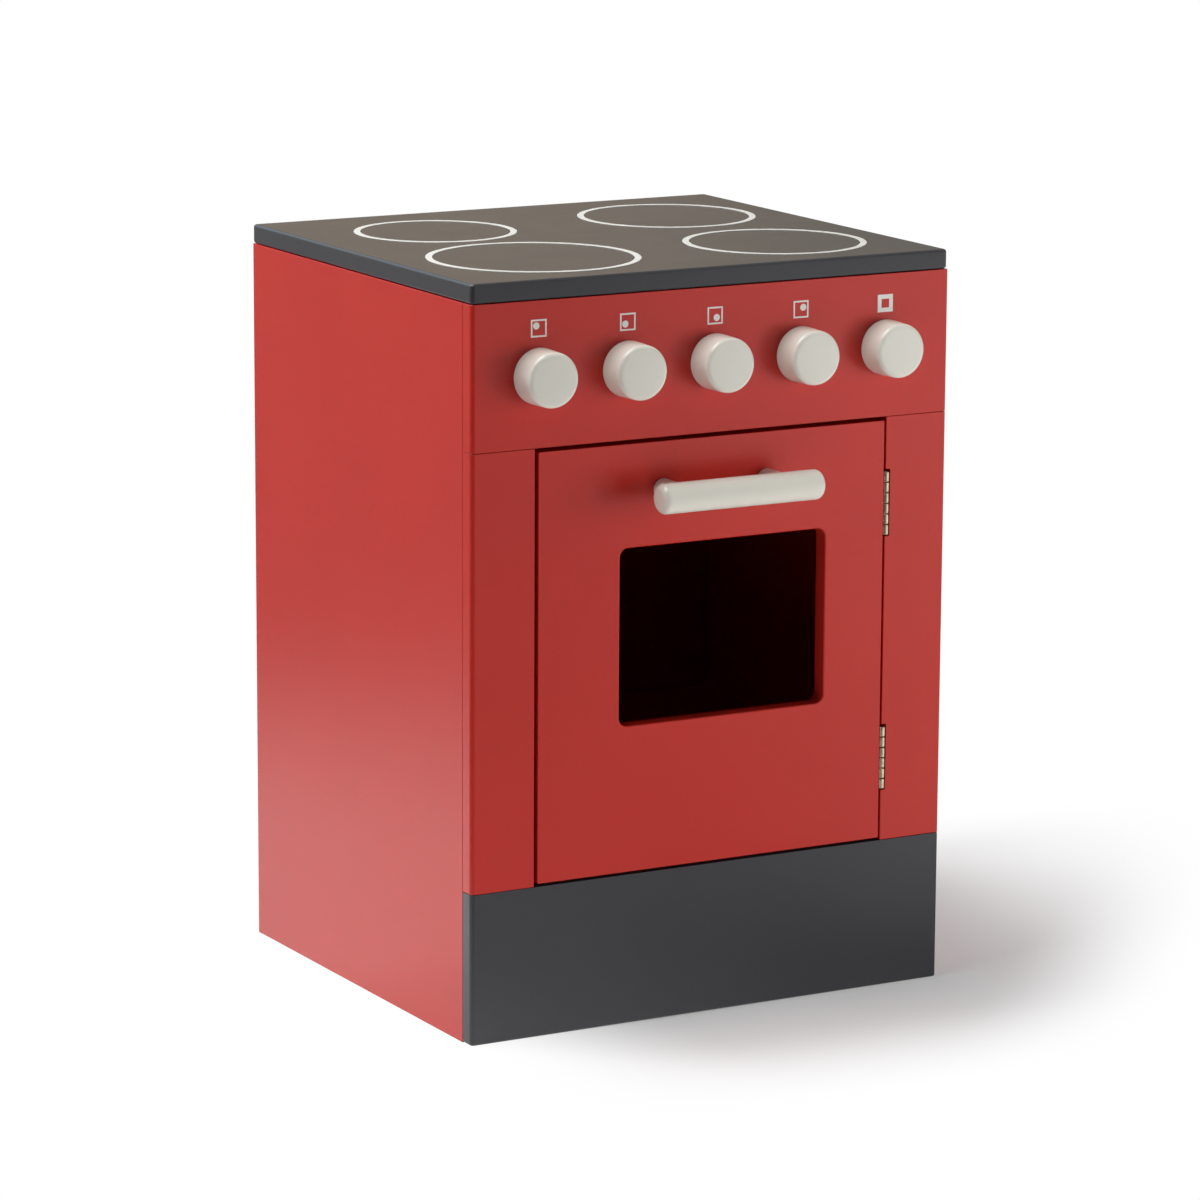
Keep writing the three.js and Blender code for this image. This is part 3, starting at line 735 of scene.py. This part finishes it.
def saddled_post(side, bar_centre, bar_radius):
    """A hollow post: its wall is carried round from the face at the door to the far end, which
    follows the bar, so that each point there lies one seat gap behind the bar's round."""
    low, high = corners_of(f"handle_post_{side}")
    centre, radius, back = (low + high) / 2, (high[0] - low[0]) / 2, high[1]
    angle = np.linspace(0, FULL_TURN, ROUND_STEPS, endpoint=False)

    def row(ring_radius, behind_door=None, eased=0.0):
        x = centre[0] + ring_radius * np.cos(angle)
        rise = ring_radius * np.sin(angle)
        seat = bar_centre[1] + np.sqrt((bar_radius + POST_SEAT_GAP) ** 2 - rise ** 2) + eased
        y = seat if behind_door is None else np.full_like(angle, behind_door)
        return np.stack([x, y, centre[2] + rise], axis=-1)

    rows = [
        row(BORE_RADIUS), row(radius - POST_ARRIS), row(radius, eased=POST_ARRIS),
        row(radius, behind_door=back - POST_ARRIS), row(radius - POST_ARRIS, behind_door=back),
        row(BORE_RADIUS, behind_door=back),
    ]
    return grid_mesh(f"painted_handle_post_{side}", np.array(rows), loop_rows=True)


def dress_handle(materials):
    """The bar is turned about its own length, with round ends, and two posts carry it."""
    low, high = corners_of("handle_bar")
    centre = (low + high) / 2
    half, radius = (high[0] - low[0]) / 2, (high[2] - low[2]) / 2
    flat = radius - BAR_END_RADIUS
    profile = [(0, -half)] + quarter_arc(flat, BAR_END_RADIUS - half, BAR_END_RADIUS, -1)
    profile += quarter_arc(flat, half - BAR_END_RADIUS, BAR_END_RADIUS, 0) + [(0, half)]
    bar = new_object(turned("painted_handle_bar", profile, centre, "X"))
    stands_for(bar, "handle_bar", materials["white_paint"])
    for side in ("left", "right"):
        post = new_object(saddled_post(side, centre, radius))
        stands_for(post, f"handle_post_{side}", materials["white_paint"])


# Prints

def dress_hob_rings(materials):
    """Each ring is a flat line with bevelled edges, carried once round."""
    for place in RING_PLACES:
        low, high = corners_of(f"hob_ring_{place}")
        outer = (high[0] - low[0]) / 2
        inner = outer - RING_STROKE
        bevel = (high[2] - low[2]) / 2
        profile = [(inner, low[2]), (outer, low[2]), (outer, high[2] - bevel), (outer - bevel, high[2]),
                   (inner + bevel, high[2]), (inner, high[2] - bevel)]
        centre = ((low[0] + high[0]) / 2, (low[1] + high[1]) / 2, 0)
        ring = new_object(turned(f"printed_ring_{place}", profile, centre, "Z", RING_STEPS, loop=True))
        # The rings' darker print is painted shade for the light that falls on the worktop
        stands_for(ring, f"hob_ring_{place}", materials["ring_print"])


def square_frame(centre, side, line, front):
    """A flat square frame: the section of its line is carried round the four corners."""
    turn = np.array([(1, 1), (-1, 1), (-1, -1), (1, -1)])
    outer, inner, face = side / 2, side / 2 - line, front - PRINT_THICKNESS
    section = np.array([outer, outer, inner, inner])
    outlines = np.array(centre) + section[:, None, None] * turn
    return grid_mesh("frame", upright_rings(outlines, [front, face, face, front]), loop_rows=True)


def dress_marks(materials):
    """Above each knob a printed square: a dot for the ring that the knob would turn on, or a
    thick frame for the oven."""
    front = corners_of("control_panel")[0][1]
    for number in KNOB_NUMBERS:
        x, _, z = middle_of(f"knob_{number}")
        centre = (x, z + MARK_RISE - MARK_ROW_FALL_SHARE * x)
        if number == OVEN_KNOB:
            parts = [square_frame(centre, OVEN_MARK_SIDE, OVEN_MARK_LINE, front)]
        else:
            dot_x, dot_z = DOT_PLACES[number - 1]
            profile = [(0, 0), (DOT_RADIUS, 0), (DOT_RADIUS, -PRINT_THICKNESS), (0, -PRINT_THICKNESS)]
            dot = turned("dot", profile, (centre[0] + dot_x, front, centre[1] + dot_z), "Y", DOT_STEPS)
            parts = [square_frame(centre, MARK_SIDE, MARK_LINE, front), dot]
        mark = new_object(joined_mesh(f"printed_mark_{number}", parts))
        mark.data.materials.append(materials["white_print"])
        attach(mark, "cabinet")


# Hinges and other fittings

def knuckle(centre, half_height):
    """A turned ring with eased outer edges."""
    outer, inner, ease = BARREL_RADIUS, PIN_BORE_RADIUS, KNUCKLE_EASE
    profile = [(inner, -half_height), (inner, half_height)]
    profile += quarter_arc(outer - ease, half_height - ease, ease, 0, KNUCKLE_EASE_STEPS)[::-1]
    profile += quarter_arc(outer - ease, ease - half_height, ease, -1, KNUCKLE_EASE_STEPS)[::-1]
    return turned("knuckle", profile, centre, "Z", SMALL_STEPS, loop=True)


def plated_leaf(name, barrel_low, barrel_high, first, side):
    """Every other knuckle and the leaf that they are rolled from, bored for its two screws."""
    axis = (barrel_low + barrel_high) / 2
    foot, top = barrel_low[2], barrel_high[2]
    outer, inner = axis[0] + side * BARREL_RADIUS, axis[0] + side * (BARREL_RADIUS - LEAF_THICKNESS)
    x_low, x_high = min(outer, inner), max(outer, inner)
    plate_front, plate_back = axis[1] + LEAF_FRONT, corners_of(name)[1][1]
    plate_low, plate_high = np.array([x_low, plate_front, foot]), np.array([x_high, plate_back, top])
    plate = new_object(rounded_box("plate", plate_low, plate_high, LEAF_EASE))
    for number in (1, 2):
        y, z = middle_of(f"{name.replace('leaf', 'screw')}_{number}")[1:]
        cut_away(plate, bore((outer, y, z), LEAF_BORE_RADIUS, 2 * LEAF_FRONT, "X", LEAF_BORE_STEPS))
    parts = [plate.data]
    pitch = (top - foot) / KNUCKLES
    half = (pitch - KNUCKLE_GAP) / 2
    for order in range(first, KNUCKLES, 2):
        middle = foot + (order + 0.5) * pitch
        parts.append(knuckle((axis[0], axis[1], middle), half))
        tang_low = np.array([x_low, axis[1], middle - half])
        tang_high = np.array([x_high, plate_front + LEAF_THICKNESS, middle + half])
        parts.append(rounded_box("tang", tang_low, tang_high, LEAF_EASE))
    leaf = new_object(joined_mesh(f"plated_{name}", parts))
    bpy.data.objects.remove(plate)
    return leaf


def plated_pin(name, barrel_low, barrel_high):
    """A pin whose ends are drawn in to a smaller flat."""
    half = (barrel_high[2] - barrel_low[2]) / 2
    end = PIN_RADIUS * PIN_END_SHARE
    profile = [(0, -half), (end, -half), (PIN_RADIUS, PIN_DOME - half), (PIN_RADIUS, half - PIN_DOME),
               (end, half), (0, half)]
    return new_object(turned(f"plated_{name}", profile, (barrel_low + barrel_high) / 2, "Z", SMALL_STEPS))


def dress_hinges(materials):
    for hinge in HINGES:
        low, high = corners_of(f"{hinge}_pin")
        high[2] -= HINGE_TOP_DROP
        for leaf, first, side in (("door_leaf", 0, -1), ("stile_leaf", 1, 1)):
            name = f"{hinge}_{leaf}"
            stands_for(plated_leaf(name, low, high, first, side), name, materials["nickel"])
        # The pin's dark finish paints the shade seen in the gaps between the knuckles
        name = f"{hinge}_pin"
        stands_for(plated_pin(name, low, high), name, materials["pin_steel"])


def dress_fittings(materials):
    """Each small metal or plastic fitting is a merged copy of its node with smooth round forms."""
    dressed = ("handle_screw", "hinge_", "catch_", "strike_", "knob_washer", "knob_screw")
    for name, source in frame["nodes"].items():
        if not name.startswith(dressed) or name.endswith(("_leaf", "_pin")):
            continue
        copy = bmesh.new()
        copy.from_mesh(source.data)
        bmesh.ops.remove_doubles(copy, verts=copy.verts, dist=MERGE_DISTANCE)
        mesh = bpy.data.meshes.new(f"finished_{name}")
        copy.to_mesh(mesh)
        copy.free()
        stands_for(new_object(mesh), name, materials[slot_of(name)])


# Camera and lamps

def make_camera():
    data = bpy.data.cameras.new("camera")
    data.sensor_width, data.lens = SENSOR_WIDTH, LENS
    data.clip_start, data.clip_end = CAMERA_NEAR, CAMERA_FAR
    camera = bpy.data.objects.new("camera", data)
    bpy.context.scene.collection.objects.link(camera)
    ahead = Vector((math.sin(CAMERA_AZIMUTH) * math.cos(CAMERA_FALL),
                    math.cos(CAMERA_AZIMUTH) * math.cos(CAMERA_FALL), -math.sin(CAMERA_FALL)))
    turn = ahead.to_track_quat("-Z", "Y").to_matrix().to_4x4() @ Matrix.Rotation(CAMERA_ROLL, 4, "Z")
    camera.matrix_world = Matrix.Translation(CAMERA_PLACE) @ turn
    bpy.context.scene.camera = camera


def make_lamp(name, place, target, size, energy, in_gloss=True):
    """A soft rectangular lamp that shines from its place toward a target."""
    data = bpy.data.lights.new(name, "AREA")
    data.shape, data.size, data.size_y = "RECTANGLE", *size
    data.energy = energy
    lamp = bpy.data.objects.new(name, data)
    bpy.context.scene.collection.objects.link(lamp)
    lamp.location = place
    lamp.rotation_euler = (Vector(target) - Vector(place)).to_track_quat("-Z", "Y").to_euler()
    lamp.visible_camera = False
    lamp.visible_glossy = in_gloss


# World

def room_colour(tree):
    """The dim room that gloss reflects: nearly black at the front left, warmer behind the oven,
    darker to the right of that, with a cool window high behind."""
    sky = node(tree, "ShaderNodeTexCoord").outputs["Generated"]
    way = node(tree, "ShaderNodeSeparateXYZ", {0: sky}).outputs
    right = carried_over(tree, maths(tree, "ARCTAN2", way["X"], way["Y"]), BEHIND_RIGHT_TURN)
    rear = blended(tree, right, ROOM_BEHIND, ROOM_BEHIND_RIGHT)
    walls = blended(tree, carried_over(tree, way["Y"], BEHIND_ENDS), ROOM, rear)
    dark = faded(tree, vector_maths(tree, "DOT_PRODUCT", sky, DARK_WAY), DARK_FADE)
    window = faded(tree, vector_maths(tree, "DOT_PRODUCT", sky, WINDOW_WAY), WINDOW_FADE)
    return blended(tree, window, blended(tree, dark, walls, ROOM_FRONT_LEFT), WINDOW_LIGHT)


def background(tree, colour, strength=1.0):
    return node(tree, "ShaderNodeBackground", {"Color": colour, "Strength": strength}).outputs[0]


def mixed_shader(tree, share, first, second):
    """The first shader, turning into the second as the share goes to one."""
    return node(tree, "ShaderNodeMixShader", {0: share, 1: first, 2: second}).outputs[0]


def make_world():
    """The camera sees white and gloss reflects the room. A weak even light fills in."""
    world = bpy.data.worlds.new("studio")
    bpy.context.scene.world = world
    world.use_nodes = True
    tree = world.node_tree
    tree.nodes.clear()
    ray = node(tree, "ShaderNodeLightPath").outputs
    straight = maths(tree, "MAXIMUM", ray["Is Camera Ray"], ray["Is Transmission Ray"])
    fill, room = background(tree, WHITE, WORLD_FILL), background(tree, room_colour(tree))
    unseen = mixed_shader(tree, ray["Is Glossy Ray"], fill, room)
    seen = mixed_shader(tree, straight, unseen, background(tree, WHITE))
    node(tree, "ShaderNodeOutputWorld", {"Surface": seen})


# Floor

def floor_paleness(tree, place, parts):
    """How far the floor has turned to plain white: one minus the product of what is left by a
    fade to each side of the oven and one toward the front right."""
    diagonal = vector_maths(tree, "DOT_PRODUCT", place, DIAGONAL_WAY)
    left = 1.0 - FLOOR_PALENESS
    for value, ends in ((diagonal, DIAGONAL_FADE), (parts["Y"], FRONT_FADE), (parts["X"], RIGHT_FADE),
                        (parts["X"], LEFT_FADE), (parts["Y"], BEHIND_FADE)):
        left = maths(tree, "MULTIPLY", left, maths(tree, "SUBTRACT", 1.0, faded(tree, value, ends)))
    return maths(tree, "SUBTRACT", 1.0, left)


def sheen_round_oven(tree, place, parts):
    """Bright near the oven, most of all on its left and behind it, and dim further off. Toward the
    room's dark side the near part ends sooner and the far part is darker."""
    lit = carried_over(tree, maths(tree, "SUBTRACT", parts["Y"], parts["X"]), SHEEN_ENDS,
                       (SHEEN_RIGHT, SHEEN_LEFT))
    level = vector_maths(tree, "NORMALIZE", place)
    dark = faded(tree, vector_maths(tree, "DOT_PRODUCT", level, DARK_WAY), DARK_FADE)
    away = maths(tree, "MULTIPLY_ADD", dark, DARK_SHIFT, vector_maths(tree, "LENGTH", place))
    near = carried_over(tree, away, (SHEEN_NEAR_RADIUS, SHEEN_FAR_RADIUS), (1.0, 0.0), "SMOOTHSTEP")
    far = carried_over(tree, dark, (0.0, 1.0), (ROOM[0], ROOM_FRONT_LEFT[0]))
    return carried_over(tree, near, (0.0, 1.0), (far, lit))


def floor_sheen(tree, place, parts):
    """How bright gloss sees the floor: the sheen round the oven or a sector toward the front right,
    whichever is brighter, and less of it by the right foot of the plinth."""
    turn = maths(tree, "ARCTAN2", parts["X"], maths(tree, "MULTIPLY", parts["Y"], -1.0))
    past_right = maths(tree, "SUBTRACT", 1.0, faded(tree, turn, FRONT_RIGHT_REAR))
    sector = maths(tree, "MULTIPLY", faded(tree, turn, FRONT_RIGHT_TURN, SHEEN_FRONT_RIGHT), past_right)
    brightest = maths(tree, "MAXIMUM", sheen_round_oven(tree, place, parts), sector)
    from_plinth = vector_maths(tree, "DISTANCE", place, PLINTH_SHADE_PLACE)
    return maths(tree, "MULTIPLY", brightest, faded(tree, from_plinth, PLINTH_SHADE_FADE))


def glow(tree, strength):
    return node(tree, "ShaderNodeEmission", {"Color": WHITE, "Strength": strength}).outputs[0]


def make_floor_material():
    """The camera sees a matt white that takes the shadow and turns to plain white away from the
    oven. Gloss sees the sheen. Matt surfaces get more light from the floor at the front left."""
    material = bpy.data.materials.new("white_sweep")
    material.use_nodes = True
    tree = material.node_tree
    tree.nodes.clear()
    ray = node(tree, "ShaderNodeLightPath").outputs
    place = node(tree, "ShaderNodeTexCoord").outputs["Object"]
    parts = node(tree, "ShaderNodeSeparateXYZ", {0: place}).outputs
    lift = maths(tree, "MULTIPLY", floor_paleness(tree, place, parts), ray["Is Camera Ray"])
    matt = node(tree, "ShaderNodeBsdfDiffuse", {"Color": FLOOR_WHITE}).outputs[0]
    seen = mixed_shader(tree, lift, matt, glow(tree, 1.0))
    mixed = mixed_shader(tree, ray["Is Glossy Ray"], seen, glow(tree, floor_sheen(tree, place, parts)))
    from_bounce = vector_maths(tree, "DISTANCE", place, BOUNCE_PLACE)
    bounce = maths(tree, "MULTIPLY", faded(tree, from_bounce, BOUNCE_FADE, BOUNCE_STRENGTH),
                   ray["Is Diffuse Ray"])
    whole = node(tree, "ShaderNodeAddShader", {0: mixed, 1: glow(tree, bounce)})
    node(tree, "ShaderNodeOutputMaterial", {"Surface": whole.outputs[0]})
    return material


def make_floor():
    """One flat face, a hair below the feet of the oven."""
    low, high = -FLOOR_REACH, FLOOR_REACH
    corners = [(low, low, -FLOOR_DROP), (high, low, -FLOOR_DROP), (high, high, -FLOOR_DROP),
               (low, high, -FLOOR_DROP)]
    mesh = bpy.data.meshes.new("floor")
    mesh.from_pydata(corners, [], [(0, 1, 2, 3)])
    mesh.materials.append(make_floor_material())
    new_object(mesh)


make_camera()
materials = make_materials()
dress_boards(materials)
dress_knobs(materials)
dress_handle(materials)
dress_hob_rings(materials)
dress_marks(materials)
dress_hinges(materials)
dress_fittings(materials)
for name, lamp in LAMPS.items():
    make_lamp(name, **lamp)
make_world()
make_floor()
bpy.context.scene.view_settings.view_transform = "Standard"

bpy.context.view_layer.update()
